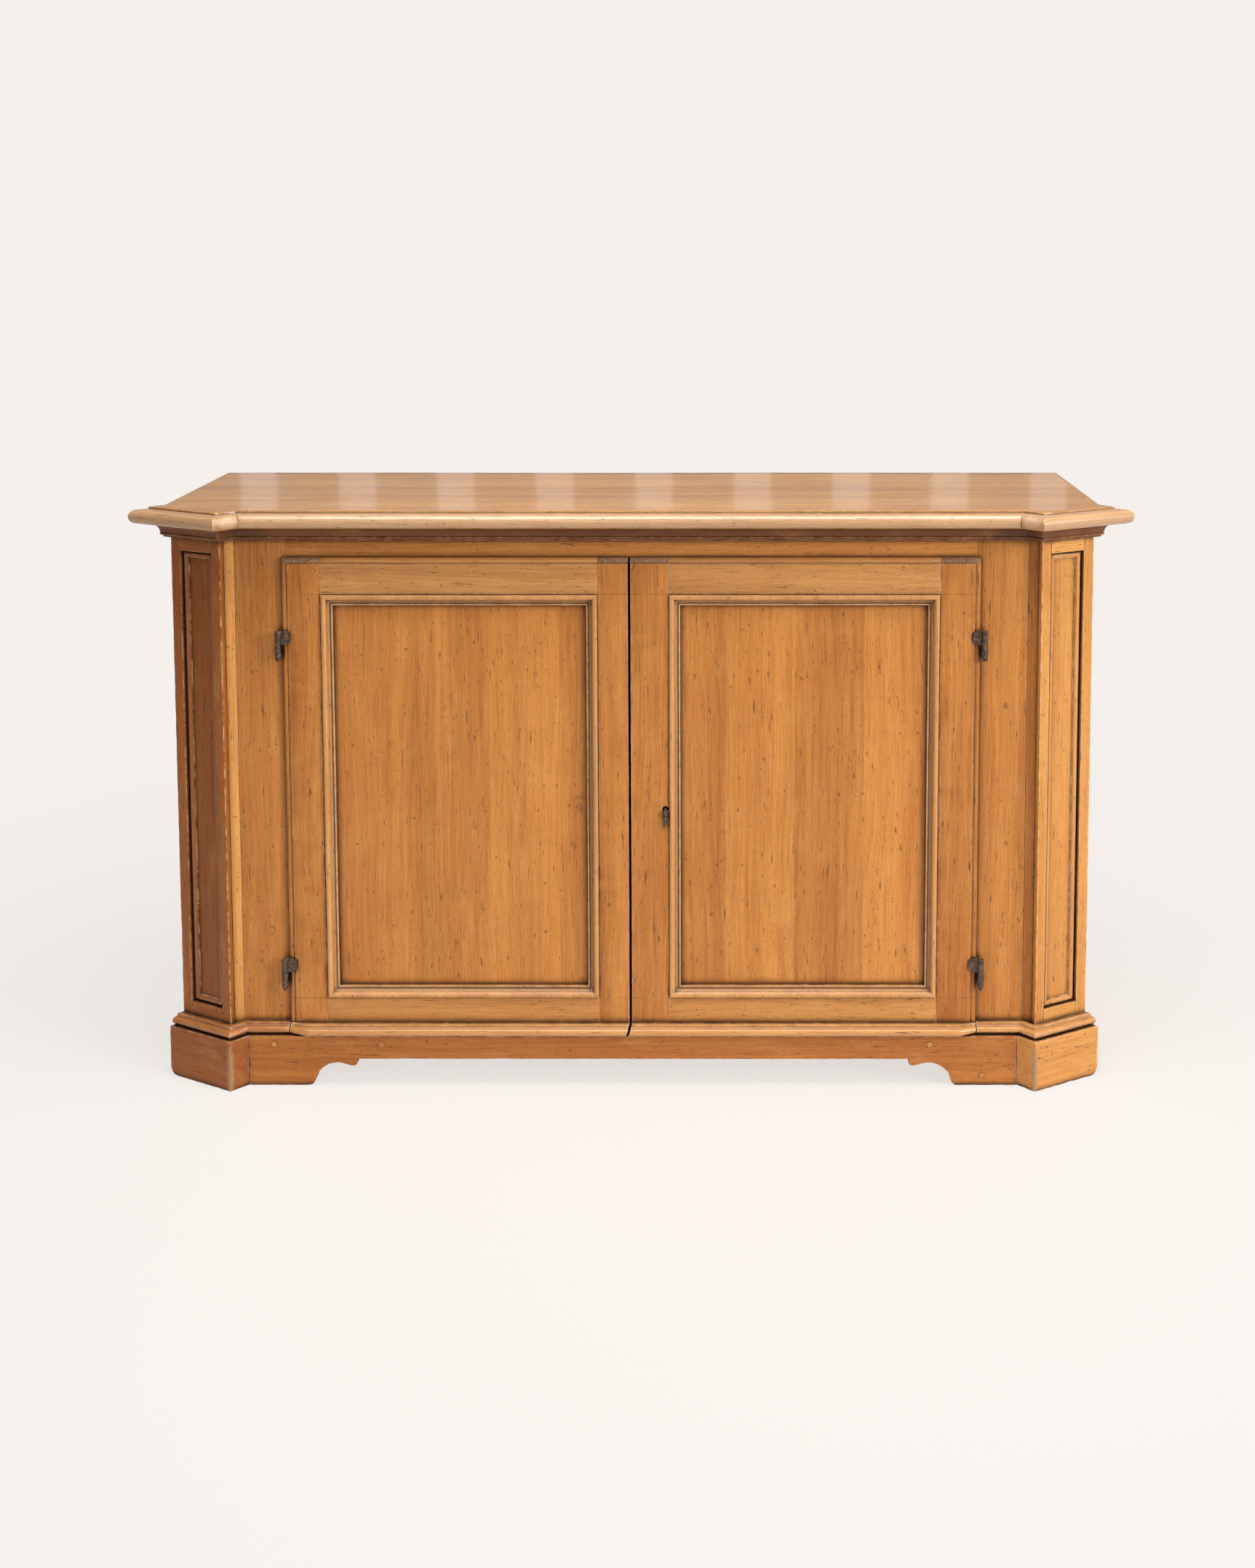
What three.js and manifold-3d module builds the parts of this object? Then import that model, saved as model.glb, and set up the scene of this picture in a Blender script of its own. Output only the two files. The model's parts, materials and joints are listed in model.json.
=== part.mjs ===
// Canted-corner walnut sideboard with two hinged doors, in millimetres, +Z up, front facing -Y.
// Origin: the middle of the outer box, at floor level.
import * as THREE from 'three';
import { mergeVertices } from 'three/addons/utils/BufferGeometryUtils.js';
import Module from 'manifold-3d';

const wasm = await Module();
wasm.setup();

// ---- Driving dimensions ----

// Heights above the floor
const HEIGHT = 1000;
const TOP_UNDERSIDE = 973;
const NOSING_TOP = 997;
const CORNICE_FOOT = 947;
const DOOR_TOP = 907;
const BASE_MOULDING_TOP = 106;
const PLINTH_TOP = 87.5;
const DOOR_FOOT = 89.5;
const BOTTOM_BOARD_TOP = 87;
const POST_FOOT = 47.5;
const SHELF_TOP = 520;

// Plan, measured outwards from the centre line and backwards from the face of the front stiles
const STILE_OUTER = 672;
const OPENING_HALF_WIDTH = 585;
const ARRIS = [691, -19];
const CANT_ANGLE = THREE.MathUtils.degToRad(28.6);
const CANT_LENGTH = 110.4;
const SIDE_OUTER = 770;
const BACK_FACE = 440;
const SLAB_OFFSET = 30;
const NOSING_OFFSET = 59;
const PLINTH_OFFSET = 24;
const TOP_EAR_SHARE = 0.34;
const BASE_EAR_SHARE = 0.1;
const SIDE_SHARE = 0.9;

// Board thicknesses and gaps
const GAP = 0.3;
const FRAME_THICK = 24;
const SIDE_THICK = 22;
const BACK_THICK = 15;
const BOARD_THICK = 20;

// Cornice profile, measured outwards and upwards
const CORNICE_FILLET = { projection: 30, height: 3 };
const CORNICE_COVE = { centre: [28, 956], radius: 13 };
const CORNICE_BEAD = { centre: [13.5, 953], radius: 2 };
const CORNICE_TAIL = { projection: 10, top: 949 };

// Carcass: the corner posts end where the side boards begin, and the inner boards are cut round the posts
const POST_BACK = 80;
const POST_INSET = 30;
const CORNER_NOTCH = { inset: 4, back: POST_BACK + 4 };
const SHELF_FRONT = 60;

// Front plinth board, half of it: distances from the centre line, and heights
const PLINTH_JOINT = 660;
const ARCH = {
  footEnd: 556,
  ankle: [543.5, 21],
  crown: [508, 40.3],
  cusp: [481, 34.3],
  step: [474, 41],
  flatHeight: 46.5,
};

// Canted pilaster frames
const PILASTER_THICK = 14;
const INNER_STILE_WIDTH = 19;
const OUTER_STILE_WIDTH = 21;
const PILASTER_RAIL = 23;
const BEAD_WIDTH = 12.5;
const BEAD_DEPTH = 4;
const PILASTER_PANEL_DEPTH = 10;

// Doors
const MEETING_LINE = -4;
const MEETING_GAP = 4.3;
const MEETING_SLANT = 6;
const DOOR_EDGE = 580.6;
const DOOR_PROUD = 10;
const DOOR_BACK = 14;
const LIP_WIDTH = 10.2;
const LIP_CLEARANCE = 0.5;
const LEAF_INSET = 2;
const BACK_REBATE = 0.6;
const PANEL_OPENING_FOOT = 149.5;
const PANEL_OPENING_TOP = 855;
const DOOR_PANEL_FACE = 2;
const DOOR_PANEL_THICK = 8;
const HINGE_STILE_WIDTH = { left: 55, right: 58.6 };
const MEETING_STILE_WIDTH = { left: 51, right: 64 };

// Base mouldings
const MOULDING_JOINT = 591.1;
const MOULDING_CLEARANCE = 1.2;
const CARCASS_TORUS = 20;
const DOOR_MOULDING_STEP = 11;
const DOOR_MOULDING_CANT = 30;

// Hinges: the axis stands in front of the stiles
const HINGE_AXIS = [597, -16];
const KNUCKLE_RADIUS = 4.9;
const PIN_RADIUS = 3;
const EYE_BORE = 3.5;
const KNUCKLE_HEIGHT = 25;
const HINGE_FEET = { upper: 743, lower: 171 };
const EYE_CLEARANCE = 0.4;
const EYE_PLATE = { innerEnd: 572, thick: 2 };
const PINTLE_TIP = { upper: 2, lower: 6 };
const PINTLE_TIP_RADIUS = 2.2;

// Lock and bolts
const KEYHOLE = [56.6, 483];
const KEYHOLE_RADIUS = 5.5;
const LOCK_CASE = { from: 1, to: 92, foot: 445, top: 521, thick: 16 };
const BOLT_HEIGHT = 20;
const BOLT_THICK = 6;
const LOCK_WALL = 20;
const SLOT_CLEARANCE = 0.5;
const KEEPER = { from: -30, to: -9, halfHeight: 22 };
const KEY_TONGUE = [
  [-2.2, 1], [2.2, 1], [3.6, -6], [3.2, -15], [2.2, -24], [0.8, -34],
  [-0.2, -34], [-1.4, -24], [-2.8, -15], [-3.4, -6],
];
const KEY_SHANK_RADIUS = 2.2;
const KEY_THICK = 3;
const KEY_PROUD = 2;
const LEAF_BOLT = { from: 22, to: 36, foot: 800, top: 902, thick: 6 };
const LEAF_KNOB = { radius: 5, height: 15, from: 3, to: 18 };
const BOLT_NOTCH = { side: 4, front: 2, height: 18 };

// How far a cutting tool runs past the faces that it cuts
const CLEAR = 1;

const HANDS = [['left', -1], ['right', 1]];
const FLAT_SEGMENTS = 24;

// Edges shorter than this are merged after a cut
const WELD = 0.002;

// ---- Materials ----

const walnut = new THREE.MeshStandardMaterial({ color: 0xc98f4e, roughness: 0.45 });
const darkWalnut = new THREE.MeshStandardMaterial({ color: 0xa56b35, roughness: 0.5 });
const carcassWood = new THREE.MeshStandardMaterial({ color: 0xb08a5c, roughness: 0.8 });
const iron = new THREE.MeshStandardMaterial({ color: 0x4b423b, roughness: 0.65, metalness: 0.8 });

// ---- Plan outline of one corner ----

const cantDirection = [Math.cos(CANT_ANGLE), Math.sin(CANT_ANGLE)];
const cantInward = [-cantDirection[1], cantDirection[0]];

/** A point on the canted face: along it from the arris, and sunk below it. */
function cantPoint(along, depth = 0) {
  return [
    ARRIS[0] + along * cantDirection[0] + depth * cantInward[0],
    ARRIS[1] + along * cantDirection[1] + depth * cantInward[1],
  ];
}

// The return and the ear both leave the canted face at this slope: distance along it for each step in depth
const BEVEL = 1 / Math.tan(Math.PI / 4 + CANT_ANGLE);

// The faces met on the way from the middle of the front round to the back, with their outward normals
const planFaces = [
  { at: [0, 0], run: [1, 0] },
  { at: [STILE_OUTER, 0], run: [Math.SQRT1_2, -Math.SQRT1_2] },
  { at: ARRIS, run: cantDirection },
  { at: cantPoint(CANT_LENGTH), run: [-Math.SQRT1_2, Math.SQRT1_2] },
  { at: [SIDE_OUTER, 0], run: [0, 1] },
  { at: [0, BACK_FACE], run: [-1, 0] },
];

function crossing(first, second) {
  const cross = first.run[0] * second.run[1] - first.run[1] * second.run[0];
  const dx = second.at[0] - first.at[0];
  const dy = second.at[1] - first.at[1];
  const along = (dx * second.run[1] - dy * second.run[0]) / cross;
  return [first.at[0] + along * first.run[0], first.at[1] + along * first.run[1]];
}

function shifted(face, offset) {
  return { at: [face.at[0] + offset * face.run[1], face.at[1] - offset * face.run[0]], run: face.run };
}

/** Corners of the outline moved outwards: front/return, arris, ear, ear/side and side/back. */
function outline(offset, earShare = TOP_EAR_SHARE) {
  const offsets = [offset, offset, offset, earShare * offset, SIDE_SHARE * offset, 0];
  const moved = planFaces.map((face, i) => shifted(face, offsets[i]));
  return moved.slice(1).map((face, i) => crossing(moved[i], face));
}

// ---- Solids ----

function signedVolume(geometry) {
  const position = geometry.attributes.position;
  const index = geometry.index;
  const corners = [new THREE.Vector3(), new THREE.Vector3(), new THREE.Vector3()];
  let total = 0;
  for (let i = 0; i < index.count; i += 3) {
    corners.forEach((corner, k) => corner.fromBufferAttribute(position, index.getX(i + k)));
    total += corners[0].dot(corners[1].clone().cross(corners[2]));
  }
  return total / 6;
}

/** A closed indexed geometry with shared vertices, no collapsed triangles and its faces pointing out. */
function solid(geometry) {
  geometry.deleteAttribute('normal');
  geometry.deleteAttribute('uv');
  const merged = mergeVertices(geometry, 1e-4);
  const flipped = signedVolume(merged) < 0;
  const corners = merged.index.array;
  const kept = [];
  for (let i = 0; i < corners.length; i += 3) {
    const [a, b, c] = corners.subarray(i, i + 3);
    if (a !== b && b !== c && c !== a) {
      kept.push(a, flipped ? c : b, flipped ? b : c);
    }
  }
  merged.setIndex(kept);
  return merged;
}

function toManifold(geometry) {
  const closed = solid(geometry.clone());
  const vertProperties = new Float32Array(closed.attributes.position.array);
  const triVerts = new Uint32Array(closed.index.array);
  return new wasm.Manifold(new wasm.Mesh({ numProp: 3, vertProperties, triVerts }));
}

function fromManifold(manifold) {
  const mesh = manifold.simplify(WELD).getMesh();
  const geometry = new THREE.BufferGeometry();
  geometry.setAttribute('position', new THREE.BufferAttribute(new Float32Array(mesh.vertProperties), 3));
  geometry.setIndex(new THREE.BufferAttribute(new Uint32Array(mesh.triVerts), 1));
  return geometry;
}

function cut(geometry, ...tools) {
  return fromManifold(tools.reduce((rest, tool) => rest.subtract(toManifold(tool)), toManifold(geometry)));
}

function join(geometry, ...others) {
  return fromManifold(others.reduce((sum, other) => sum.add(toManifold(other)), toManifold(geometry)));
}

function common(geometry, tool) {
  return fromManifold(toManifold(geometry).intersect(toManifold(tool)));
}

function box([x0, x1], [y0, y1], [z0, z1]) {
  const geometry = new THREE.BoxGeometry(x1 - x0, y1 - y0, z1 - z0);
  return geometry.translate((x0 + x1) / 2, (y0 + y1) / 2, (z0 + z1) / 2);
}

function cylinder(radius, [x, y], [z0, z1]) {
  const geometry = new THREE.CylinderGeometry(radius, radius, z1 - z0, FLAT_SEGMENTS);
  return geometry.rotateX(Math.PI / 2).translate(x, y, (z0 + z1) / 2);
}

/** A cylinder that runs from front to back. */
function crossPin(radius, [x, z], [y0, y1]) {
  const geometry = new THREE.CylinderGeometry(radius, radius, y1 - y0, FLAT_SEGMENTS);
  return geometry.translate(x, (y0 + y1) / 2, z);
}

/** An upright prism on a plan polygon. */
function prism(plan, z0, z1) {
  const shape = new THREE.Shape(plan.map(([x, y]) => new THREE.Vector2(x, y)));
  return new THREE.ExtrudeGeometry(shape, { depth: z1 - z0, bevelEnabled: false }).translate(0, 0, z0);
}

function arc([x, y], radius, fromDegrees, toDegrees, steps) {
  return Array.from({ length: steps + 1 }, (_, i) => {
    const angle = THREE.MathUtils.degToRad(fromDegrees + ((toDegrees - fromDegrees) * i) / steps);
    return [x + radius * Math.cos(angle), y + radius * Math.sin(angle)];
  });
}

/** Triangles of a flat polygon, all turning the way its outline turns. */
function flatTriangles(points) {
  const contour = points.map(([x, y]) => new THREE.Vector2(x, y));
  const turn = Math.sign(THREE.ShapeUtils.area(contour));
  return THREE.ShapeUtils.triangulateShape(contour, []).map(([a, b, c]) => {
    const same = Math.sign(THREE.ShapeUtils.area([contour[a], contour[b], contour[c]])) === turn;
    return same ? [a, b, c] : [a, c, b];
  });
}

/** Skins a run of equal sections, each one the profile placed somewhere; a closed run needs no ends. */
function loft(profile, places, closed = false) {
  const size = profile.length;
  const vertices = places.flatMap((place) => profile.map((point) => place(point)));
  const faces = [];
  const spans = closed ? places.length : places.length - 1;
  for (let i = 0; i < spans; i += 1) {
    const near = i * size;
    const far = ((i + 1) % places.length) * size;
    for (let j = 0; j < size; j += 1) {
      const k = (j + 1) % size;
      faces.push([near + j, near + k, far + k], [near + j, far + k, far + j]);
    }
  }
  if (!closed) {
    const last = (places.length - 1) * size;
    for (const [a, b, c] of flatTriangles(profile)) {
      faces.push([a, c, b], [last + a, last + b, last + c]);
    }
  }
  const geometry = new THREE.BufferGeometry();
  geometry.setAttribute('position', new THREE.Float32BufferAttribute(vertices.flat(), 3));
  geometry.setIndex(faces.flat());
  return geometry;
}

/** A moulding that follows the outline: its profile is [offset, z], its path a run of outline corners. */
function outlineMoulding(profile, corners, earShare, start) {
  const places = corners.map((corner) => ([offset, z]) => [...outline(offset, earShare)[corner], z]);
  return loft(profile, [start, ...places]);
}

/** A mitred ring round a rectangle: its profile is [inset, depth], and place sets a point of the face. */
function ring([x0, x1], [z0, z1], profile, place) {
  const corners = [[x0, z0, 1, 1], [x1, z0, -1, 1], [x1, z1, -1, -1], [x0, z1, 1, -1]];
  const places = corners.map(([x, z, sx, sz]) => ([inset, depth]) => (
    place(x + sx * inset, z + sz * inset, depth)
  ));
  return loft(profile, places, true);
}

// ---- Assembly ----

const sideboard = new THREE.Group();
sideboard.name = 'sideboard';
const carcass = new THREE.Group();
sideboard.add(carcass);
const front = outline(NOSING_OFFSET)[1][1];
carcass.position.y = -(front + BACK_FACE) / 2;

function add(name, geometry, material) {
  const mesh = new THREE.Mesh(solid(geometry), material);
  mesh.name = name;
  carcass.add(mesh);
}

/** Adds a piece made for the right-hand side, mirrored when it belongs to the left. */
function addHanded(name, side, geometry, material) {
  add(name, geometry.clone().scale(side, 1, 1), material);
}

// ---- Top ----

function addTop() {
  const right = outline(SLAB_OFFSET);
  const left = right.map(([x, y]) => [-x, y]).reverse();
  add('top_board', prism([...right, ...left], TOP_UNDERSIDE, HEIGHT), walnut);

  const radius = (NOSING_TOP - TOP_UNDERSIDE) / 2;
  const round = arc([NOSING_OFFSET - radius, NOSING_TOP - radius], radius, -90, 90, 8);
  const inner = SLAB_OFFSET + GAP;
  const nosing = [[inner, TOP_UNDERSIDE], ...round, [inner, NOSING_TOP]];
  const mitre = (shift) => ([offset, z]) => [outline(offset)[0][0] + shift, -offset, z];
  const oppositeMitre = ([offset, z]) => [GAP - outline(offset)[0][0], -offset, z];
  add('top_edge_front', loft(nosing, [oppositeMitre, mitre(-GAP)]), walnut);
  for (const [hand, side] of HANDS) {
    addHanded(`top_edge_${hand}`, side, outlineMoulding(nosing, [1, 2], TOP_EAR_SHARE, mitre(0)), walnut);
  }
}

function addCornice() {
  const head = TOP_UNDERSIDE - GAP;
  const { projection, height } = CORNICE_FILLET;
  const profile = [
    [GAP, head],
    [projection, head],
    [projection, head - height],
    ...arc(CORNICE_COVE.centre, CORNICE_COVE.radius, 100, 180, 6),
    ...arc(CORNICE_BEAD.centre, CORNICE_BEAD.radius, 70, -70, 3),
    [CORNICE_TAIL.projection, CORNICE_TAIL.top],
    [CORNICE_TAIL.projection, CORNICE_FOOT],
    [GAP, CORNICE_FOOT],
  ];
  const places = [];
  for (const corner of [4, 3, 2, 1, 0]) {
    places.push(([offset, z]) => [-outline(offset)[corner][0], outline(offset)[corner][1], z]);
  }
  for (const corner of [0, 1, 2, 3, 4]) {
    places.push(([offset, z]) => [...outline(offset)[corner], z]);
  }
  add('cornice', loft(profile, places), darkWalnut);
}

// ---- Face frame, posts and boards ----

function addFrame() {
  const head = TOP_UNDERSIDE - GAP;
  const inner = OPENING_HALF_WIDTH;
  const stile = box([inner, STILE_OUTER - GAP], [0, FRAME_THICK], [POST_FOOT, head]);
  const postDepth = PILASTER_THICK + GAP;
  const post = [
    [STILE_OUTER, 0],
    cantPoint(BEVEL * postDepth, postDepth),
    cantPoint(CANT_LENGTH - BEVEL * postDepth, postDepth),
    outline(0)[3],
    [SIDE_OUTER, POST_BACK],
    [SIDE_OUTER - POST_INSET, POST_BACK],
    [STILE_OUTER, FRAME_THICK],
  ];
  for (const [hand, side] of HANDS) {
    addHanded(`front_stile_${hand}`, side, stile, walnut);
    addHanded(`corner_post_${hand}`, side, prism(post, POST_FOOT, head), walnut);
    const depth = [POST_BACK + GAP, BACK_FACE - BACK_THICK - GAP];
    const board = box([SIDE_OUTER - SIDE_THICK, SIDE_OUTER], depth, [POST_FOOT, head]);
    addHanded(`side_${hand}`, side, board, walnut);
  }
  const rail = inner - GAP;
  const boltNotch = box(
    [-LEAF_BOLT.to - BOLT_NOTCH.side, -LEAF_BOLT.from + BOLT_NOTCH.side],
    [DOOR_BACK - BOLT_NOTCH.front, FRAME_THICK + CLEAR],
    [DOOR_TOP - CLEAR, DOOR_TOP + BOLT_NOTCH.height],
  );
  const topRail = cut(box([-rail, rail], [0, FRAME_THICK], [DOOR_TOP, head]), boltNotch);
  add('front_top_rail', topRail, walnut);
  add('front_bottom_rail', box([-rail, rail], [0, FRAME_THICK], [POST_FOOT, BOTTOM_BOARD_TOP]), darkWalnut);
}

function addInterior() {
  const reach = SIDE_OUTER - SIDE_THICK - GAP;
  const rear = BACK_FACE - BACK_THICK - GAP;
  const inner = STILE_OUTER - CORNER_NOTCH.inset;
  const cornerCut = (front) => [
    [-inner, front], [inner, front], [inner, CORNER_NOTCH.back], [reach, CORNER_NOTCH.back],
    [reach, rear], [-reach, rear], [-reach, CORNER_NOTCH.back], [-inner, CORNER_NOTCH.back],
  ];
  const bottom = prism(cornerCut(FRAME_THICK + GAP), BOTTOM_BOARD_TOP - BOARD_THICK, BOTTOM_BOARD_TOP);
  add('bottom_board', bottom, carcassWood);
  add('shelf', prism(cornerCut(SHELF_FRONT), SHELF_TOP - BOARD_THICK, SHELF_TOP), carcassWood);
  const backHeights = [POST_FOOT, TOP_UNDERSIDE - GAP];
  const back = box([-SIDE_OUTER, SIDE_OUTER], [BACK_FACE - BACK_THICK, BACK_FACE], backHeights);
  add('back_panel', back, carcassWood);
}

// ---- Canted pilasters ----

function addPilaster(hand, side) {
  const foot = BASE_MOULDING_TOP - 18;
  const head = TOP_UNDERSIDE - GAP;
  const opening = [BASE_MOULDING_TOP + PILASTER_RAIL, CORNICE_FOOT - PILASTER_RAIL];
  const near = INNER_STILE_WIDTH;
  const far = CANT_LENGTH - OUTER_STILE_WIDTH;
  const bevel = BEVEL * PILASTER_THICK;
  const name = (piece) => `pilaster_${hand}_${piece}`;
  const strip = (from, to) => [cantPoint(from[0]), cantPoint(to[0]), cantPoint(to[1], PILASTER_THICK),
    cantPoint(from[1], PILASTER_THICK)];
  addHanded(name('inner_stile'), side, prism(strip([0, bevel], [near, near]), foot, head), walnut);
  addHanded(name('outer_stile'), side,
    prism(strip([far, far], [CANT_LENGTH, CANT_LENGTH - bevel]), foot, head), walnut);
  const between = [near + GAP, far - GAP];
  const rail = strip([between[0], between[0]], [between[1], between[1]]);
  addHanded(name('top_rail'), side, prism(rail, opening[1], head), walnut);
  addHanded(name('bottom_rail'), side, prism(rail, foot, opening[0]), walnut);
  const panel = [cantPoint(between[0], PILASTER_PANEL_DEPTH), cantPoint(between[1], PILASTER_PANEL_DEPTH),
    cantPoint(between[1], PILASTER_THICK), cantPoint(between[0], PILASTER_THICK)];
  addHanded(name('panel'), side, prism(panel, opening[0] + GAP, opening[1] - GAP), darkWalnut);

  const seat = PILASTER_PANEL_DEPTH - GAP;
  const middle = BEAD_WIDTH / 2;
  const radius = middle - 1;
  const base = BEAD_DEPTH + radius;
  const profile = [[0, seat], [0, base], ...arc([middle, base], radius, 180, 360, 6), [BEAD_WIDTH, base],
    [BEAD_WIDTH, seat]];
  const place = (along, z, depth) => [...cantPoint(along, depth), z];
  const bead = ring(between, [opening[0] + GAP, opening[1] - GAP], profile, place);
  addHanded(name('bead'), side, bead, walnut);
}

// ---- Plinth and base moulding ----

/** The front board: its lower edge rises from each foot through a scroll and a cusp to a long flat. */
function archedBoard(halfLength) {
  const scroll = new THREE.Path();
  scroll.moveTo(ARCH.footEnd, 0);
  const [ankle, crown, cusp, step] = [ARCH.ankle, ARCH.crown, ARCH.cusp, ARCH.step];
  scroll.bezierCurveTo(ARCH.footEnd - 7, 0.5, ankle[0] + 2, 9, ...ankle);
  scroll.bezierCurveTo(ankle[0] - 8, ankle[1] + 9, crown[0] + 16, crown[1], ...crown);
  scroll.bezierCurveTo(crown[0] - 12, crown[1], cusp[0] + 9, cusp[1], ...cusp);
  scroll.bezierCurveTo(cusp[0] - 5, cusp[1], step[0], cusp[1] + 2.5, ...step);
  scroll.lineTo(step[0], ARCH.flatHeight);
  const right = scroll.getPoints(6);
  const left = right.map(({ x, y }) => new THREE.Vector2(-x, y)).reverse();
  const head = PLINTH_TOP - GAP;
  const shape = new THREE.Shape([
    new THREE.Vector2(halfLength, 0),
    ...right,
    ...left,
    new THREE.Vector2(-halfLength, 0),
    new THREE.Vector2(-halfLength, head),
    new THREE.Vector2(halfLength, head),
  ]);
  const board = new THREE.ExtrudeGeometry(shape, { depth: PLINTH_OFFSET - GAP, bevelEnabled: false });
  return board.rotateX(Math.PI / 2).translate(0, -GAP, 0);
}

function addPlinth() {
  add('plinth_front', archedBoard(PLINTH_JOINT - GAP), walnut);
  const head = PLINTH_TOP - GAP;
  const section = [[GAP, 0], [PLINTH_OFFSET, 0], [PLINTH_OFFSET, head], [GAP, head]];
  const start = ([offset, z]) => [PLINTH_JOINT, -offset, z];
  for (const [hand, side] of HANDS) {
    const board = outlineMoulding(section, [0, 1, 2, 3, 4], BASE_EAR_SHARE, start);
    addHanded(`plinth_${hand}`, side, board, walnut);
  }
}

/** Base moulding profile as [projection, z], from a fillet at the top to a torus at the foot. */
function baseProfile(back, projection) {
  const torus = arc([projection - 6, 95], 6, -75, 80, 7);
  return [
    [back, PLINTH_TOP + GAP],
    [projection - 5, PLINTH_TOP + GAP],
    ...torus,
    [projection - 8, 101.5],
    [projection - 9, 102.5],
    [projection - 9, BASE_MOULDING_TOP],
    [back, BASE_MOULDING_TOP],
  ];
}

function addBaseMouldings() {
  const profile = baseProfile(GAP, CARCASS_TORUS);
  const start = ([offset, z]) => [MOULDING_JOINT + GAP, -offset, z];
  for (const [hand, side] of HANDS) {
    const moulding = outlineMoulding(profile, [0, 1, 2, 3, 4], BASE_EAR_SHARE, start);
    addHanded(`base_moulding_${hand}`, side, moulding, darkWalnut);
  }
}

// ---- Doors ----

/** The whole door as one blank: a leaf inside the opening behind a face with a moulded lip. */
function doorBlank(meeting) {
  const lipRound = arc([4.7, -DOOR_PROUD + 6.5], 5.5, 0, -125, 7);
  const layers = [
    [-LEAF_INSET, DOOR_BACK],
    [-LEAF_INSET, -LIP_CLEARANCE],
    [LIP_WIDTH, -LIP_CLEARANCE],
    ...lipRound,
    [0, -DOOR_PROUD + 1.6],
    [0, -DOOR_PROUD],
  ];
  const rectangle = [[0, 0], [1, 0], [1, 1], [0, 1]];
  const places = layers.map(([spread, depth], layer) => {
    const rebate = layer < 2 ? BACK_REBATE : 0;
    return ([x, z]) => [
      x ? DOOR_EDGE + spread : meeting + rebate,
      depth,
      z ? DOOR_TOP + spread : DOOR_FOOT + rebate,
    ];
  });
  return loft(rectangle, places);
}

function panelMoulding(opening) {
  const back = DOOR_PANEL_FACE - GAP;
  const bead = arc([5.2, -DOOR_PROUD - 0.2], 4.6, 180, 360, 7);
  const cove = arc([16.5, -DOOR_PROUD + 0.5], 6, 180, 95, 4);
  const profile = [[GAP, back], ...bead, ...cove, [17.2, -5.4], [19.8, -5.4], [19.8, back]];
  return ring(opening, [PANEL_OPENING_FOOT, PANEL_OPENING_TOP], profile, (x, z, depth) => [x, depth, z]);
}

/** The length of base moulding that a door carries; it steps forward from the carcass moulding. */
function doorBaseMoulding(meeting, slant) {
  const back = DOOR_PROUD + GAP;
  const profile = baseProfile(back, CARCASS_TORUS);
  const forward = ([projection]) => (projection > back ? DOOR_MOULDING_STEP : 0);
  const foot = PLINTH_TOP + GAP;
  const rise = BASE_MOULDING_TOP - foot;
  const edge = MOULDING_JOINT - MOULDING_CLEARANCE;
  const places = [
    ([p, z]) => [edge, -Math.max(p, back), z],
    ([p, z]) => [edge - DOOR_MOULDING_CANT, -p - forward([p]), z],
    ([p, z]) => [meeting + (slant * (BASE_MOULDING_TOP - z)) / rise, -p - forward([p]), z],
  ];
  return loft(profile, places);
}

function hingeEye(foot) {
  const [x, y] = HINGE_AXIS;
  const heights = [foot + KNUCKLE_HEIGHT + EYE_CLEARANCE, foot + 2 * KNUCKLE_HEIGHT];
  const plateBack = -DOOR_PROUD - GAP;
  const plate = box([EYE_PLATE.innerEnd, x], [plateBack - EYE_PLATE.thick, plateBack], heights);
  const eye = join(cylinder(KNUCKLE_RADIUS, [x, y], heights), plate);
  return cut(eye, cylinder(EYE_BORE, [x, y], [heights[0] - CLEAR, heights[1] + CLEAR]));
}

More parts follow.
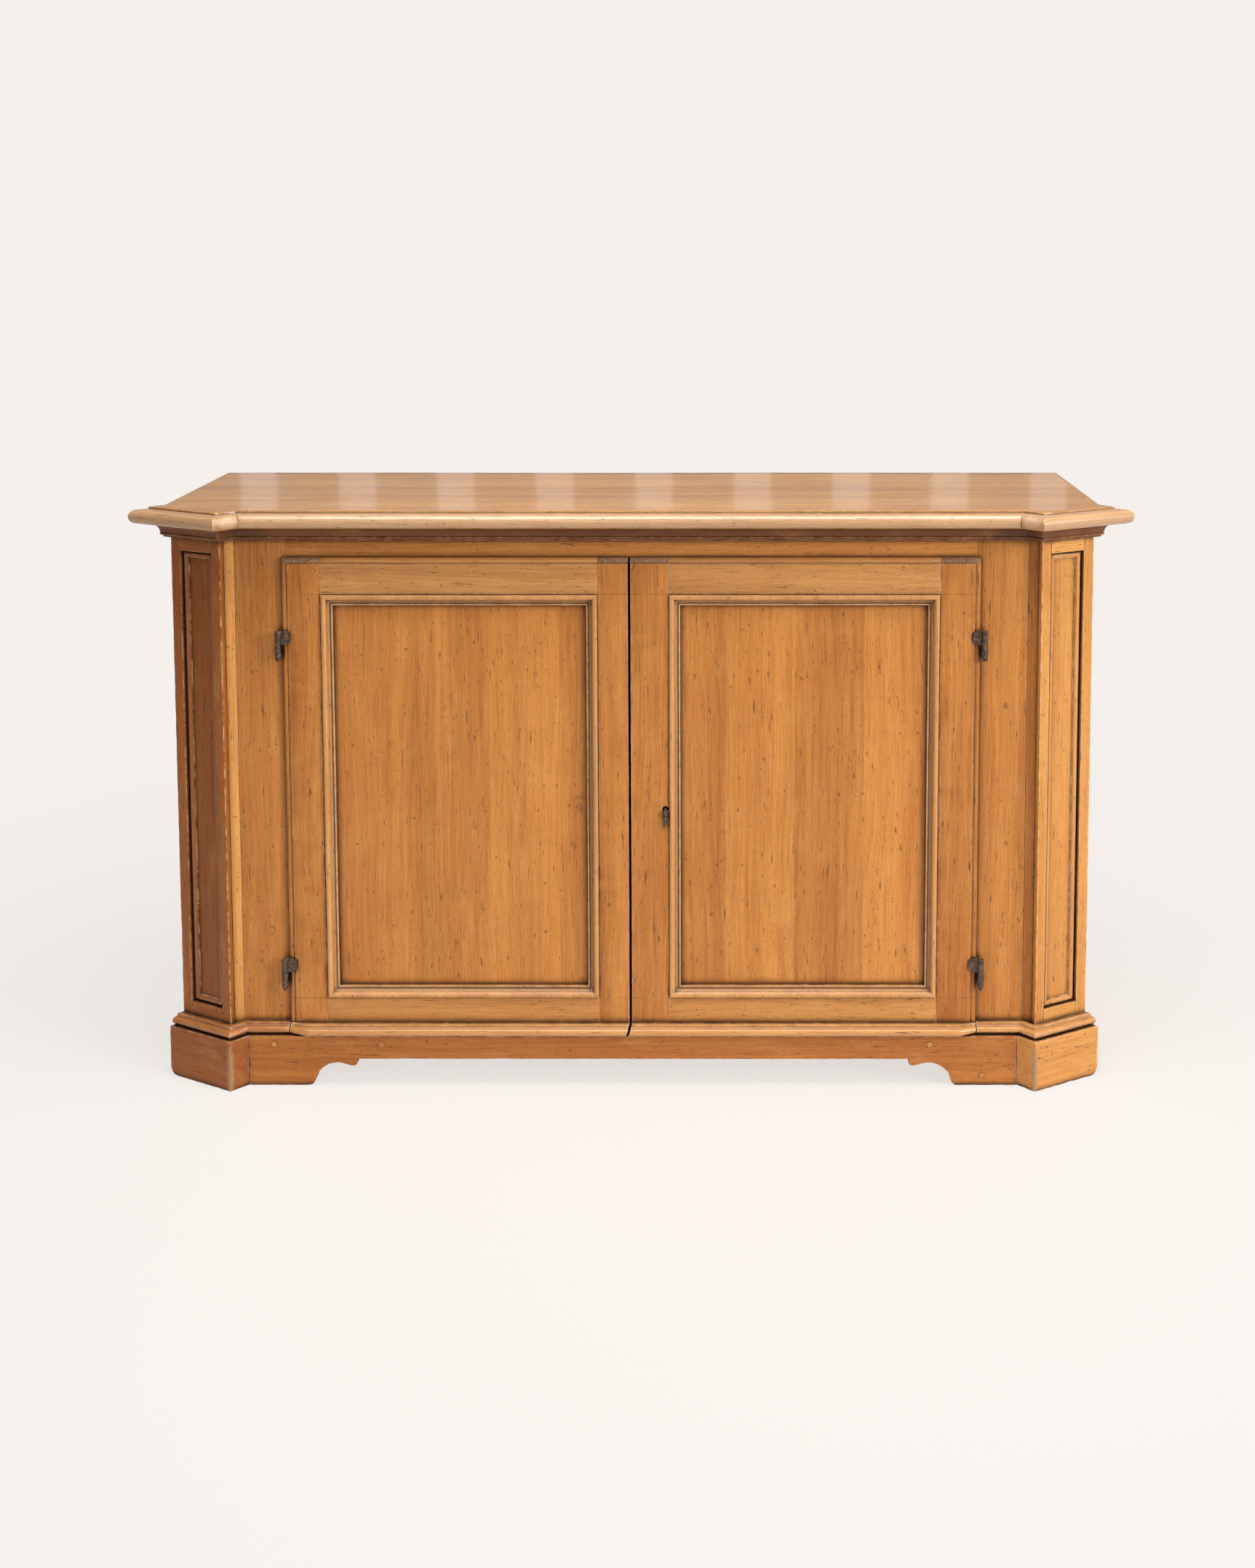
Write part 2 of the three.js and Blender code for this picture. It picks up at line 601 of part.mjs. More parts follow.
function addDoor(hand, side) {
  const name = (piece) => `door_${hand}_${piece}`;
  const meeting = side * MEETING_LINE + MEETING_GAP / 2;
  const stileEdge = {
    meeting: meeting + MEETING_STILE_WIDTH[hand],
    hinge: DOOR_EDGE - HINGE_STILE_WIDTH[hand],
  };
  const opening = [stileEdge.meeting, stileEdge.hinge];
  const depth = [-DOOR_PROUD - 5, DOOR_BACK + 5];
  const panelHeights = [PANEL_OPENING_FOOT, PANEL_OPENING_TOP];
  const frame = cut(doorBlank(meeting), box(opening, depth, panelHeights));
  const piece = (xs, zs) => common(frame, box(xs, depth, zs));
  const low = DOOR_FOOT - 5;
  const high = DOOR_TOP + 20;
  const half = GAP / 2;
  const between = [stileEdge.meeting + half, stileEdge.hinge - half];
  let meetingStile = piece([meeting - 5, stileEdge.meeting - half], [low, high]);
  if (side > 0) {
    meetingStile = cut(meetingStile, crossPin(KEYHOLE_RADIUS, KEYHOLE, depth));
  }
  addHanded(name('meeting_stile'), side, meetingStile, walnut);
  const hingeStile = piece([stileEdge.hinge + half, DOOR_EDGE + 2 * LIP_WIDTH], [low, high]);
  addHanded(name('hinge_stile'), side, hingeStile, walnut);
  addHanded(name('top_rail'), side, piece(between, [PANEL_OPENING_TOP - 5, high]), walnut);
  addHanded(name('bottom_rail'), side, piece(between, [low, PANEL_OPENING_FOOT + 5]), walnut);
  const panel = box(
    [opening[0] + GAP, opening[1] - GAP],
    [DOOR_PANEL_FACE, DOOR_PANEL_FACE + DOOR_PANEL_THICK],
    [PANEL_OPENING_FOOT + GAP, PANEL_OPENING_TOP - GAP],
  );
  addHanded(name('panel'), side, panel, darkWalnut);
  addHanded(name('panel_moulding'), side, panelMoulding(opening), walnut);
  addHanded(name('base_moulding'), side, doorBaseMoulding(meeting, -side * MEETING_SLANT), darkWalnut);
  for (const level of ['upper', 'lower']) {
    addHanded(name(`hinge_eye_${level}`), side, hingeEye(HINGE_FEET[level]), iron);
  }
}

function hingePintle(foot, tip) {
  const profile = [
    [0, -tip],
    [PINTLE_TIP_RADIUS, -tip],
    [KNUCKLE_RADIUS, 0],
    [KNUCKLE_RADIUS, KNUCKLE_HEIGHT],
    [PIN_RADIUS, KNUCKLE_HEIGHT],
    [PIN_RADIUS, 2 * KNUCKLE_HEIGHT - 2],
    [PIN_RADIUS - 1, 2 * KNUCKLE_HEIGHT],
    [0, 2 * KNUCKLE_HEIGHT],
  ];
  const outlinePoints = profile.map(([radius, z]) => new THREE.Vector2(radius, z));
  const [x, y] = HINGE_AXIS;
  const pin = new THREE.LatheGeometry(outlinePoints, FLAT_SEGMENTS);
  pin.rotateX(Math.PI / 2).translate(x, y, foot);
  const spike = box([x - 3, x + 3], [y, -GAP], [foot + 4, foot + KNUCKLE_HEIGHT - 5]);
  return join(pin, spike);
}

function addHinges() {
  for (const [hand, side] of HANDS) {
    for (const level of ['upper', 'lower']) {
      const pintle = hingePintle(HINGE_FEET[level], PINTLE_TIP[level]);
      addHanded(`hinge_pintle_${hand}_${level}`, side, pintle, iron);
    }
  }
}

// ---- Lock, key and bolts ----

function addLock() {
  const [keyX, keyZ] = KEYHOLE;
  const inside = DOOR_BACK + GAP;
  const boltDepth = [inside + 5, inside + 5 + BOLT_THICK];
  const boltHeights = [keyZ - BOLT_HEIGHT / 2, keyZ + BOLT_HEIGHT / 2];
  const slotDepth = [boltDepth[0] - SLOT_CLEARANCE, boltDepth[1] + SLOT_CLEARANCE];
  const slotHeights = [boltHeights[0] - SLOT_CLEARANCE, boltHeights[1] + SLOT_CLEARANCE];
  const caseDepth = [inside, inside + LOCK_CASE.thick];
  const lockCase = cut(
    box([LOCK_CASE.from, LOCK_CASE.to], caseDepth, [LOCK_CASE.foot, LOCK_CASE.top]),
    box([LOCK_CASE.from - CLEAR, LOCK_CASE.to - LOCK_WALL + 2], slotDepth, slotHeights),
  );
  add('lock_case', lockCase, iron);
  const boltLength = [LOCK_CASE.from + SLOT_CLEARANCE, LOCK_CASE.to - LOCK_WALL];
  add('lock_bolt', box(boltLength, boltDepth, boltHeights), iron);

  const keeper = cut(
    box([KEEPER.from, KEEPER.to], caseDepth, [keyZ - KEEPER.halfHeight, keyZ + KEEPER.halfHeight]),
    box(
      [KEEPER.from - CLEAR, KEEPER.to + CLEAR],
      [slotDepth[0] - CLEAR, slotDepth[1] + CLEAR],
      [slotHeights[0] - CLEAR, slotHeights[1] + CLEAR],
    ),
  );
  add('bolt_keeper', keeper, iron);

  const face = -DOOR_PROUD - KEY_PROUD;
  const tongue = new THREE.Shape(KEY_TONGUE.map(([x, z]) => new THREE.Vector2(x, z)));
  const plate = new THREE.ExtrudeGeometry(tongue, { depth: KEY_THICK, bevelEnabled: false });
  plate.rotateX(Math.PI / 2).translate(keyX, face, keyZ);
  const shank = crossPin(KEY_SHANK_RADIUS, [keyX, keyZ], [face - 1, DOOR_BACK - 1]);
  add('key_pull', join(shank, plate), iron);

  const leafLength = [-LEAF_BOLT.to, -LEAF_BOLT.from];
  const knobCentre = [(leafLength[0] + leafLength[1]) / 2, LEAF_BOLT.foot + LEAF_KNOB.height];
  const leafBolt = join(
    box(leafLength, [inside, inside + LEAF_BOLT.thick], [LEAF_BOLT.foot, LEAF_BOLT.top]),
    crossPin(LEAF_KNOB.radius, knobCentre, [inside + LEAF_KNOB.from, inside + LEAF_KNOB.to]),
  );
  add('leaf_bolt', leafBolt, iron);
}

addTop();
addCornice();
addFrame();
addInterior();
addPlinth();
addBaseMouldings();
addHinges();
for (const [hand, side] of HANDS) {
  addPilaster(hand, side);
  addDoor(hand, side);
}
addLock();

export default sideboard;
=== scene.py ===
"""A canted-corner walnut sideboard with two doors: worn waxed wood, wrought-iron hinges, plain studio."""

import json
import math

import bmesh
import bpy
from mathutils import Matrix, Vector, noise


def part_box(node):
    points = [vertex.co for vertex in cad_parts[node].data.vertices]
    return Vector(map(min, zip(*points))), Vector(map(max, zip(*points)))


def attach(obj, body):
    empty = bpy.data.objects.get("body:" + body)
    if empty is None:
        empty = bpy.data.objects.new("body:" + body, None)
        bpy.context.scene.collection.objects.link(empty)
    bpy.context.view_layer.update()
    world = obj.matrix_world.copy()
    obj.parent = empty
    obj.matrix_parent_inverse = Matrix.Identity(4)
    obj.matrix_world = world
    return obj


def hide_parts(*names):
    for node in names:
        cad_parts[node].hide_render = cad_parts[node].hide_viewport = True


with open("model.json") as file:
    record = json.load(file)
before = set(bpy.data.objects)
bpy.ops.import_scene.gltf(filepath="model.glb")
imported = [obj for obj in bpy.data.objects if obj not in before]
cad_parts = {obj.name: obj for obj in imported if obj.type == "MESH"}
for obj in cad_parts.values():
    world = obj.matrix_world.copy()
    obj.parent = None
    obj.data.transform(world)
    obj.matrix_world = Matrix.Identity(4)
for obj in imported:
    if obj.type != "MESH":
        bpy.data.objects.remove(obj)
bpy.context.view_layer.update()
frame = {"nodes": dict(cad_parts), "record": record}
NODES = frame["nodes"]
BODY_OF = {node: body for body, names in frame["record"]["behaviour"]["bodies"].items() for node in names}
SLOT_OF = {part["node"]: part["material_slot"] for part in frame["record"]["subparts"]}
CANT = math.radians(28.6)
MM = 0.001

# Colours of the marks in the wood figure, and how far its grime and painted shade in corners and its rubbed
# edges reach, in metres
FADED = (0.8, 0.62, 0.44, 1)
FLECK = (0.7, 0.36, 0.12, 1)
PORE = (0.17, 0.065, 0.02, 1)
CRACK = (0.085, 0.034, 0.012, 1)
WORMHOLE = (0.03, 0.014, 0.006, 1)
RUBBED = (0.78, 0.52, 0.3, 1)
KNIFE_LINE = (0.1, 0.04, 0.015, 1)
PANEL_RIM = (0.2, 0.07, 0.018, 1)
END_GRAIN = ((0.11, 0.06, 0.035, 1), (0.42, 0.25, 0.15, 1))
DIRT_AND_SHADE_REACH = 0.013
RUB_REACH = 0.0035


# ---- Shader helpers ----

class Graph:
    """A node tree with short ways to add and join nodes."""

    def __init__(self, tree):
        self.tree = tree

    def add(self, kind, settings=None, **inputs):
        node = self.tree.nodes.new(kind)
        for name, value in (settings or {}).items():
            setattr(node, name, value)
        for name, value in inputs.items():
            self.join(value, node.inputs[name.replace("_", " ")])
        return node

    def join(self, value, socket):
        if isinstance(value, bpy.types.NodeSocket):
            self.tree.links.new(value, socket)
        else:
            socket.default_value = value

    def math(self, operation, first, second=0.0, clamp=False):
        node = self.tree.nodes.new("ShaderNodeMath")
        node.operation = operation
        node.use_clamp = clamp
        self.join(first, node.inputs[0])
        self.join(second, node.inputs[1])
        return node.outputs[0]

    def scaled(self, value, factor, offset):
        """value times factor, plus offset."""
        node = self.tree.nodes.new("ShaderNodeMath")
        node.operation = "MULTIPLY_ADD"
        for term, socket in zip((value, factor, offset), node.inputs):
            self.join(term, socket)
        return node.outputs[0]

    def vector_math(self, operation, *terms):
        node = self.tree.nodes.new("ShaderNodeVectorMath")
        node.operation = operation
        for term, socket in zip(terms, node.inputs):
            self.join(term, socket)
        return node

    def stretch(self, vector, factors):
        return self.vector_math("MULTIPLY", vector, factors).outputs[0]

    def distance(self, vector):
        return self.vector_math("LENGTH", vector).outputs["Value"]

    def noise(self, vector, scale, detail=2.0, roughness=0.5):
        node = self.add("ShaderNodeTexNoise", Vector=vector, Scale=scale, Detail=detail, Roughness=roughness)
        return node.outputs["Fac"]

    def ramp(self, value, low, high):
        """0 below low, 1 above high, smooth between."""
        node = self.add("ShaderNodeMapRange", {"interpolation_type": "SMOOTHSTEP"}, Value=value)
        node.inputs["From Min"].default_value = low
        node.inputs["From Max"].default_value = high
        return node.outputs["Result"]

    def mix(self, factor, first, second, blend="MIX"):
        node = self.tree.nodes.new("ShaderNodeMix")
        node.data_type = "RGBA"
        node.blend_type = blend
        self.join(factor, node.inputs[0])
        self.join(first, node.inputs[6])
        self.join(second, node.inputs[7])
        return node.outputs[2]


def grain_group():
    """Shared wood figure. The grain runs along the X of the incoming vector, in metres."""
    group = bpy.data.node_groups.new("wood_figure", "ShaderNodeTree")
    sockets = group.interface
    sockets.new_socket("Vector", in_out="INPUT", socket_type="NodeSocketVector")
    for name in ("Light", "Dark", "Grime"):
        sockets.new_socket(name, in_out="INPUT", socket_type="NodeSocketColor")
    for name in ("Dirt", "Wear", "Tone"):
        sockets.new_socket(name, in_out="INPUT", socket_type="NodeSocketFloat")
    sockets.new_socket("Color", in_out="OUTPUT", socket_type="NodeSocketColor")
    sockets.new_socket("Matte", in_out="OUTPUT", socket_type="NodeSocketFloat")
    sockets.new_socket("Height", in_out="OUTPUT", socket_type="NodeSocketFloat")
    g = Graph(group)
    given = group.nodes.new("NodeGroupInput").outputs
    vector = given["Vector"]

    sway = g.add("ShaderNodeTexNoise", Vector=g.stretch(vector, (1.6, 7, 7)), Scale=1.0, Detail=2.0)
    figure = g.vector_math("MULTIPLY_ADD", sway.outputs["Color"], (0.0, 0.04, 0.04), vector).outputs[0]

    broad = g.noise(g.stretch(figure, (1.0, 20, 20)), 1.0, 2.0, 0.5)
    rings = g.noise(g.stretch(figure, (1.6, 115, 115)), 1.0, 3.0, 0.6)
    streaks = g.noise(g.stretch(figure, (8, 430, 430)), 1.0, 3.0, 0.65)
    fibres = g.noise(g.stretch(figure, (16, 1150, 1150)), 1.0, 2.0, 0.6)
    pores = g.noise(g.stretch(figure, (75, 1700, 1700)), 1.0, 1.0)
    dashes = g.noise(g.stretch(figure, (28, 330, 330)), 1.0, 2.0, 0.6)
    cloud = g.noise(vector, 4.5, 3.0, 0.55)
    mottle = g.noise(g.stretch(vector, (12, 34, 34)), 1.0, 3.0, 0.6)

    tone = g.math("ADD", given["Tone"], g.math("MULTIPLY", g.ramp(broad, 0.3, 0.7), 0.3))
    tone = g.math("ADD", tone, g.math("MULTIPLY", g.ramp(rings, 0.34, 0.7), 0.22))
    tone = g.math("ADD", tone, g.math("MULTIPLY", g.ramp(streaks, 0.38, 0.74), 0.3))
    tone = g.math("ADD", tone, g.math("MULTIPLY", g.ramp(fibres, 0.4, 0.7), 0.2), clamp=True)
    colour = g.mix(tone, given["Light"], given["Dark"])
    colour = g.mix(g.math("MULTIPLY", g.ramp(cloud, 0.36, 0.7), 0.28), colour, FADED, "MULTIPLY")
    colour = g.mix(g.math("MULTIPLY", g.ramp(mottle, 0.5, 0.85), 0.26), colour, FLECK)
    pore_mask = g.math("MULTIPLY", g.ramp(pores, 0.6, 0.72), 0.4)
    colour = g.mix(pore_mask, colour, PORE)

    holes = g.add("ShaderNodeTexVoronoi", Vector=vector, Scale=36.0)
    chosen = g.ramp(g.noise(vector, 9.0, 1.0), 0.52, 0.56)
    worm = g.math("MULTIPLY", g.ramp(holes.outputs["Distance"], 0.034, 0.022), chosen)
    knocks = g.ramp(g.noise(g.stretch(vector, (85, 150, 150)), 1.0, 2.0, 0.7), 0.67, 0.71)
    shakes = g.ramp(dashes, 0.672, 0.7)
    marks = g.math("ADD", g.math("MULTIPLY", knocks, 0.6), g.math("MULTIPLY", shakes, 0.75), clamp=True)
    colour = g.mix(marks, colour, CRACK)
    colour = g.mix(g.math("MULTIPLY", worm, 0.85), colour, WORMHOLE)

    # Painted shade and grime: ambient occlusion darkens the wood towards a dark brown in corners, creases
    # and under mouldings, where shade falls
    corner = g.add("ShaderNodeAmbientOcclusion", {"samples": 5}, Distance=DIRT_AND_SHADE_REACH)
    patchy = g.scaled(g.noise(vector, 45.0, 3.0, 0.6), 0.9, 0.62)
    recess_grime_and_shade = g.ramp(corner.outputs["AO"], 0.88, 0.46)
    grime_and_shade = g.math("MULTIPLY", g.math("MULTIPLY", recess_grime_and_shade, patchy), given["Dirt"], clamp=True)
    colour = g.mix(grime_and_shade, colour, given["Grime"])

    inner = g.add("ShaderNodeAmbientOcclusion", {"samples": 4, "inside": True, "only_local": True},
                  Distance=RUB_REACH)
    edge = g.ramp(inner.outputs["AO"], 0.86, 0.5)
    rubbed = g.math("MULTIPLY", edge, g.ramp(g.noise(vector, 60.0, 3.0, 0.7), 0.4, 0.62))
    rubbed = g.math("MULTIPLY", rubbed, given["Wear"], clamp=True)
    colour = g.mix(rubbed, colour, RUBBED)

    out = group.nodes.new("NodeGroupOutput").inputs
    g.join(colour, out["Color"])
    smears = g.ramp(g.noise(vector, 7.0, 4.0, 0.7), 0.3, 0.75)
    g.join(g.math("ADD", g.math("MULTIPLY", grime_and_shade, 0.5), g.math("MULTIPLY", smears, 0.35)), out["Matte"])
    height = g.math("MULTIPLY", streaks, 0.35)
    height = g.math("SUBTRACT", height, g.math("MULTIPLY", pore_mask, 0.9))
    sunk = g.math("ADD", g.math("MULTIPLY", worm, 2.5), g.math("MULTIPLY", knocks, 1.2))
    height = g.math("SUBTRACT", height, sunk)
    planed = g.noise(g.stretch(vector, (6, 16, 16)), 1.0, 2.0)
    height = g.math("ADD", height, g.math("MULTIPLY", planed, 2.2))
    g.join(height, out["Height"])
    return group


FIGURE = grain_group()
GRAIN_TURN = {
    "x": (0, 0, 0),
    "y": (0, 0, -math.pi / 2),
    "z": (0, math.pi / 2, 0),
    "cant_right": (0, 0, -CANT),
    "cant_left": (0, 0, CANT),
}
# Dark brown for the grime and painted shade in corners and creases
GRIME_AND_SHADE = (0.034, 0.012, 0.005, 1)


def spotted(g, coordinates, colour, spots):
    """Lays soft-edged marks over a colour: each is a centre, three radii, a colour and a strength."""
    for centre, radii, tint, strength in spots:
        offset = g.vector_math("SUBTRACT", coordinates, centre).outputs[0]
        reach = g.distance(g.stretch(offset, [1 / r for r in radii]))
        ragged = g.math("ADD", reach, g.math("MULTIPLY", g.noise(coordinates, 190.0, 3.0), 0.9))
        colour = g.mix(g.math("MULTIPLY", g.ramp(ragged, 1.45, 0.85), strength), colour, tint)
    return colour


def wood(name, grain, light, dark, seed, roughness=0.36, grime_and_shade=1.0, wear=0.6, bump=0.35, coat=0.04,
         shine=0.2, tone=0.0, end_above=None, planks=None, border=None, scribes=(), spots=()):
    """Waxed old wood with its grain along one axis.

    end_above is the height where end grain shows; planks is an axis, a board width along it and how much
    the tone changes from board to board; border is the box of a panel that has darkened round its edge;
    scribes are the heights of knife lines; and spots are stains, worn patches and patches of soot and
    painted shade.
    """
    material = bpy.data.materials.new(name)
    material.use_nodes = True
    g = Graph(material.node_tree)
    shader = material.node_tree.nodes["Principled BSDF"]
    coordinates = g.add("ShaderNodeTexCoord").outputs["Object"]
    axes = g.add("ShaderNodeSeparateXYZ", Vector=coordinates).outputs
    placed = g.add("ShaderNodeMapping", Vector=coordinates, Rotation=GRAIN_TURN[grain],
                   Location=(seed * 1.37, seed * 0.73, seed * 2.11)).outputs[0]
    if planks:
        axis, width, change = planks
        number = g.math("FLOOR", g.math("ADD", g.math("DIVIDE", axes[axis], width), seed * 0.37))
        draw = g.tree.nodes.new("ShaderNodeTexWhiteNoise")
        draw.noise_dimensions = "1D"
        g.join(number, draw.inputs["W"])
        tone = g.scaled(draw.outputs["Value"], change, -change / 2)
    figure = g.add("ShaderNodeGroup", {"node_tree": FIGURE}, Vector=placed, Light=light, Dark=dark,
                   Grime=GRIME_AND_SHADE, Dirt=grime_and_shade, Wear=wear, Tone=tone)
    colour = figure.outputs["Color"]
    matte = figure.outputs["Matte"]
    if end_above is not None:
        strands = g.noise(g.stretch(coordinates, (900, 900, 250)), 1.0, 2.0)
        end = g.math("MULTIPLY", g.ramp(axes["Z"], end_above, end_above + 0.0006), 0.85)
        shade = g.mix(g.ramp(strands, 0.35, 0.7), *END_GRAIN)
        colour = g.mix(end, colour, shade)
        matte = g.math("ADD", matte, g.math("MULTIPLY", end, 0.4))
    for level in scribes:
        near = g.ramp(g.math("ABSOLUTE", g.math("SUBTRACT", axes["Z"], level)), 0.0009, 0.0003)
        faded = g.ramp(g.noise(coordinates, 30.0, 2.0), 0.3, 0.6)
        colour = g.mix(g.math("MULTIPLY", near, g.math("MULTIPLY", faded, 0.65)), colour, KNIFE_LINE)
    if border:
        low, high = border
        sides = [g.math("SUBTRACT", axes["X"], low.x), g.math("SUBTRACT", high.x, axes["X"])]
        ends = [g.math("SUBTRACT", axes["Z"], low.z), g.math("SUBTRACT", high.z, axes["Z"])]
        inset = g.math("MINIMUM", g.math("MINIMUM", *sides), g.math("MINIMUM", *ends))
        drift = g.math("MULTIPLY", g.noise(coordinates, 16.0, 3.0), 0.024)
        rim = g.ramp(g.math("SUBTRACT", inset, drift), 0.022, -0.004)
        colour = g.mix(g.math("MULTIPLY", rim, 0.62), colour, PANEL_RIM)
    colour = spotted(g, coordinates, colour, spots)
    g.join(colour, shader.inputs["Base Color"])
    g.join(g.scaled(matte, 0.5, roughness), shader.inputs["Roughness"])
    raised = g.add("ShaderNodeBump", Height=figure.outputs["Height"], Strength=bump, Distance=0.0006)
    g.join(raised.outputs[0], shader.inputs["Normal"])
    shader.inputs["IOR"].default_value = 1.45 if coat > 0.1 else 1.36
    shader.inputs["Coat Weight"].default_value = coat
    shader.inputs["Coat Roughness"].default_value = shine
    return material


def iron_material():
    """Hand-forged iron: dark brown oxide, rust blooms and a rubbed metal gleam on the edges."""
    material = bpy.data.materials.new("wrought_iron")
    material.use_nodes = True
    g = Graph(material.node_tree)
    shader = material.node_tree.nodes["Principled BSDF"]
    coordinates = g.add("ShaderNodeTexCoord").outputs["Object"]
    rust = g.ramp(g.noise(coordinates, 160.0, 4.0, 0.7), 0.42, 0.66)
    colour = g.mix(rust, (0.075, 0.06, 0.05, 1), (0.17, 0.085, 0.045, 1))
    edge = g.ramp(g.add("ShaderNodeNewGeometry").outputs["Pointiness"], 0.53, 0.62)
    colour = g.mix(g.math("MULTIPLY", edge, 0.6), colour, (0.42, 0.38, 0.34, 1))
    g.join(colour, shader.inputs["Base Color"])
    g.join(g.math("SUBTRACT", 0.9, rust), shader.inputs["Metallic"])
    g.join(g.scaled(rust, 0.35, 0.38), shader.inputs["Roughness"])
    pits = g.noise(coordinates, 420.0, 4.0, 0.65)
    raised = g.add("ShaderNodeBump", Height=pits, Strength=0.5, Distance=0.0005)
    g.join(raised.outputs[0], shader.inputs["Normal"])
    return material


# ---- Shape helpers ----

MERGE_DISTANCE = 0.02 * MM
FLAT_ANGLE = math.radians(0.6)
BEVEL_ANGLE = math.radians(32)
SHARP_ANGLE = math.radians(38)


def lively(point, amount):
    """The same slow unevenness for every piece, so that neighbours keep their joints."""
    slow = noise.noise_vector(point * 2.3)
    quick = noise.noise_vector(point * 17.0)
    return slow * (0.45 * MM * amount) + quick * (0.07 * MM * amount)


def slice_up(mesh, step):
    """Cuts the mesh on planes square to each axis, so that it has vertices to move between its corners."""
    for axis in range(3):
        if not step[axis]:
            continue
        places = [v.co[axis] for v in mesh.verts]
        low, high = min(places), max(places)
        count = int((high - low) / step[axis])
        normal = Vector([1.0 if i == axis else 0.0 for i in range(3)])
        for i in range(1, count + 1):
            at = normal * (low + (high - low) * i / (count + 1))
            bmesh.ops.bisect_plane(mesh, geom=mesh.verts[:] + mesh.edges[:] + mesh.faces[:],
                                   plane_co=at, plane_no=normal)


def rounded_foot(place, corner, outward, radius):
    """Rounds the outer lower corner of a canted board; corner is its tip, outward points along its face."""
    offset = place - corner
    along = max(0.0, -offset.dot(outward))
    sunk = abs(offset.x * outward.y - offset.y * outward.x)
    if along >= radius or offset.z >= radius:
        return place
    reach = math.hypot(radius - along, radius - offset.z)
    if reach <= radius:
        return place
    pull = 1 - radius / reach
    share = max(0.0, min(1.0, 1.1 - sunk / 0.03))
    return place + (Vector((0, 0, radius - offset.z)) - outward * (radius - along)) * (pull * share)


def refined(node, bevel, step, uneven=1.0, wear=0.0, soften=0.0):
    """A worn copy of a CAD node: eased edges, hand-planed surfaces and rubbed or chipped arrises."""
    mesh = bmesh.new()
    mesh.from_mesh(NODES[node].data)
    bmesh.ops.remove_doubles(mesh, verts=mesh.verts, dist=MERGE_DISTANCE)
    bmesh.ops.dissolve_limit(mesh, angle_limit=FLAT_ANGLE, verts=mesh.verts, edges=mesh.edges)
    sharp = [e for e in mesh.edges if len(e.link_faces) == 2 and e.calc_face_angle() > BEVEL_ANGLE]
    bmesh.ops.bevel(mesh, geom=sharp, offset=bevel, segments=2, profile=0.6,
                    affect="EDGES", clamp_overlap=True)
    slice_up(mesh, step)
    mesh.normal_update()
    tip = max(mesh.verts, key=lambda v: abs(v.co.x)).co.copy()
    tip.z = min(v.co.z for v in mesh.verts)
    outward = Vector((math.copysign(math.cos(CANT), tip.x), math.sin(CANT), 0))
    tip.y = min(v.co.y for v in mesh.verts if abs(v.co.x - tip.x) < 0.0005)
    moved = {}
    for v in mesh.verts:
        turn = 0.0
        if wear and len(v.link_faces) > 1:
            spread = [f.normal for f in v.link_faces]
            turn = max(a.angle(b, 0.0) for a in spread for b in spread)
        chip = max(0.0, noise.noise(v.co * 55.0) + 0.55 * noise.noise(v.co * 140.0) - 0.1)
        worn = v.normal * (-wear * chip * min(1.0, turn * 1.6))
        settled = rounded_foot(v.co, tip, outward, soften) if soften else v.co
        moved[v] = settled + lively(v.co, uneven) + worn
    for v, place in moved.items():
        v.co = place
    data = bpy.data.meshes.new(node + "_worn")
    mesh.to_mesh(data)
    mesh.free()
    for name in ("custom_normal", "UVMap"):
        if name in data.attributes:
            data.attributes.remove(data.attributes[name])
    data.shade_smooth()
    data.set_sharp_from_angle(angle=SHARP_ANGLE)
    return data


def place_piece(name, data, material, body, slot, *nodes):
    """Makes a piece that rides on a body and stands in for the CAD nodes given."""
    data.materials.clear()
    data.materials.append(material)
    piece = bpy.data.objects.new(name, data)
    bpy.context.collection.objects.link(piece)
    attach(piece, body)
    if nodes:
        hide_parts(*nodes)


# ---- Wooden pieces ----

# Each wood tone is a light and a dark colour
HONEY = ((0.63, 0.265, 0.058, 1), (0.29, 0.085, 0.012, 1))
PALE = ((0.67, 0.33, 0.095, 1), (0.36, 0.13, 0.026, 1))
AMBER = ((0.54, 0.205, 0.04, 1), (0.26, 0.07, 0.01, 1))
# Painted shade: a darker copy of the wood for the left-hand canted pieces, which turn away from the key lamp
PAINTED_SHADE_RUSSET = ((0.4, 0.13, 0.024, 1), (0.2, 0.05, 0.008, 1))
# Painted light: a brighter copy of the wood for pieces lit by the key lamp on the right
PAINTED_LIGHT_GOLD = ((0.74, 0.36, 0.095, 1), (0.42, 0.16, 0.03, 1))
SHADED = ((0.21, 0.066, 0.013, 1), (0.085, 0.024, 0.006, 1))
TOP = ((0.57, 0.28, 0.085, 1), (0.24, 0.088, 0.022, 1))
WORN = ((0.58, 0.36, 0.19, 1), (0.3, 0.135, 0.05, 1))
RAW = ((0.46, 0.3, 0.17, 1), (0.3, 0.18, 0.09, 1))

# Colours of the marks laid on single boards
BLEACHED = (0.72, 0.52, 0.36, 1)
# Soot-dark colour laid on the cornice, partly as dirt and partly as painted shade under the top
SOOT_AND_SHADE = (0.05, 0.022, 0.01, 1)
SCUFF = (0.36, 0.22, 0.11, 1)
KNOT = (0.2, 0.07, 0.02, 1)


def arris(node):
    """Where a corner piece comes furthest forward."""
    return min((v.co for v in NODES[node].data.vertices), key=lambda co: co.y)


class Board:
    """How one wooden node is finished; bevel, step, chips and soften are in millimetres."""

    def __init__(self, node, grain, tones, bevel, step, uneven=1.0, chips=0.0, soften=0.0, **finish):
        self.node = node
        self.grain = grain
        self.tones = tones
        self.bevel = bevel * MM
        self.step = [s * MM for s in step]
        self.uneven = uneven
        self.chips = chips * MM
        self.soften = soften * MM
        self.finish = finish


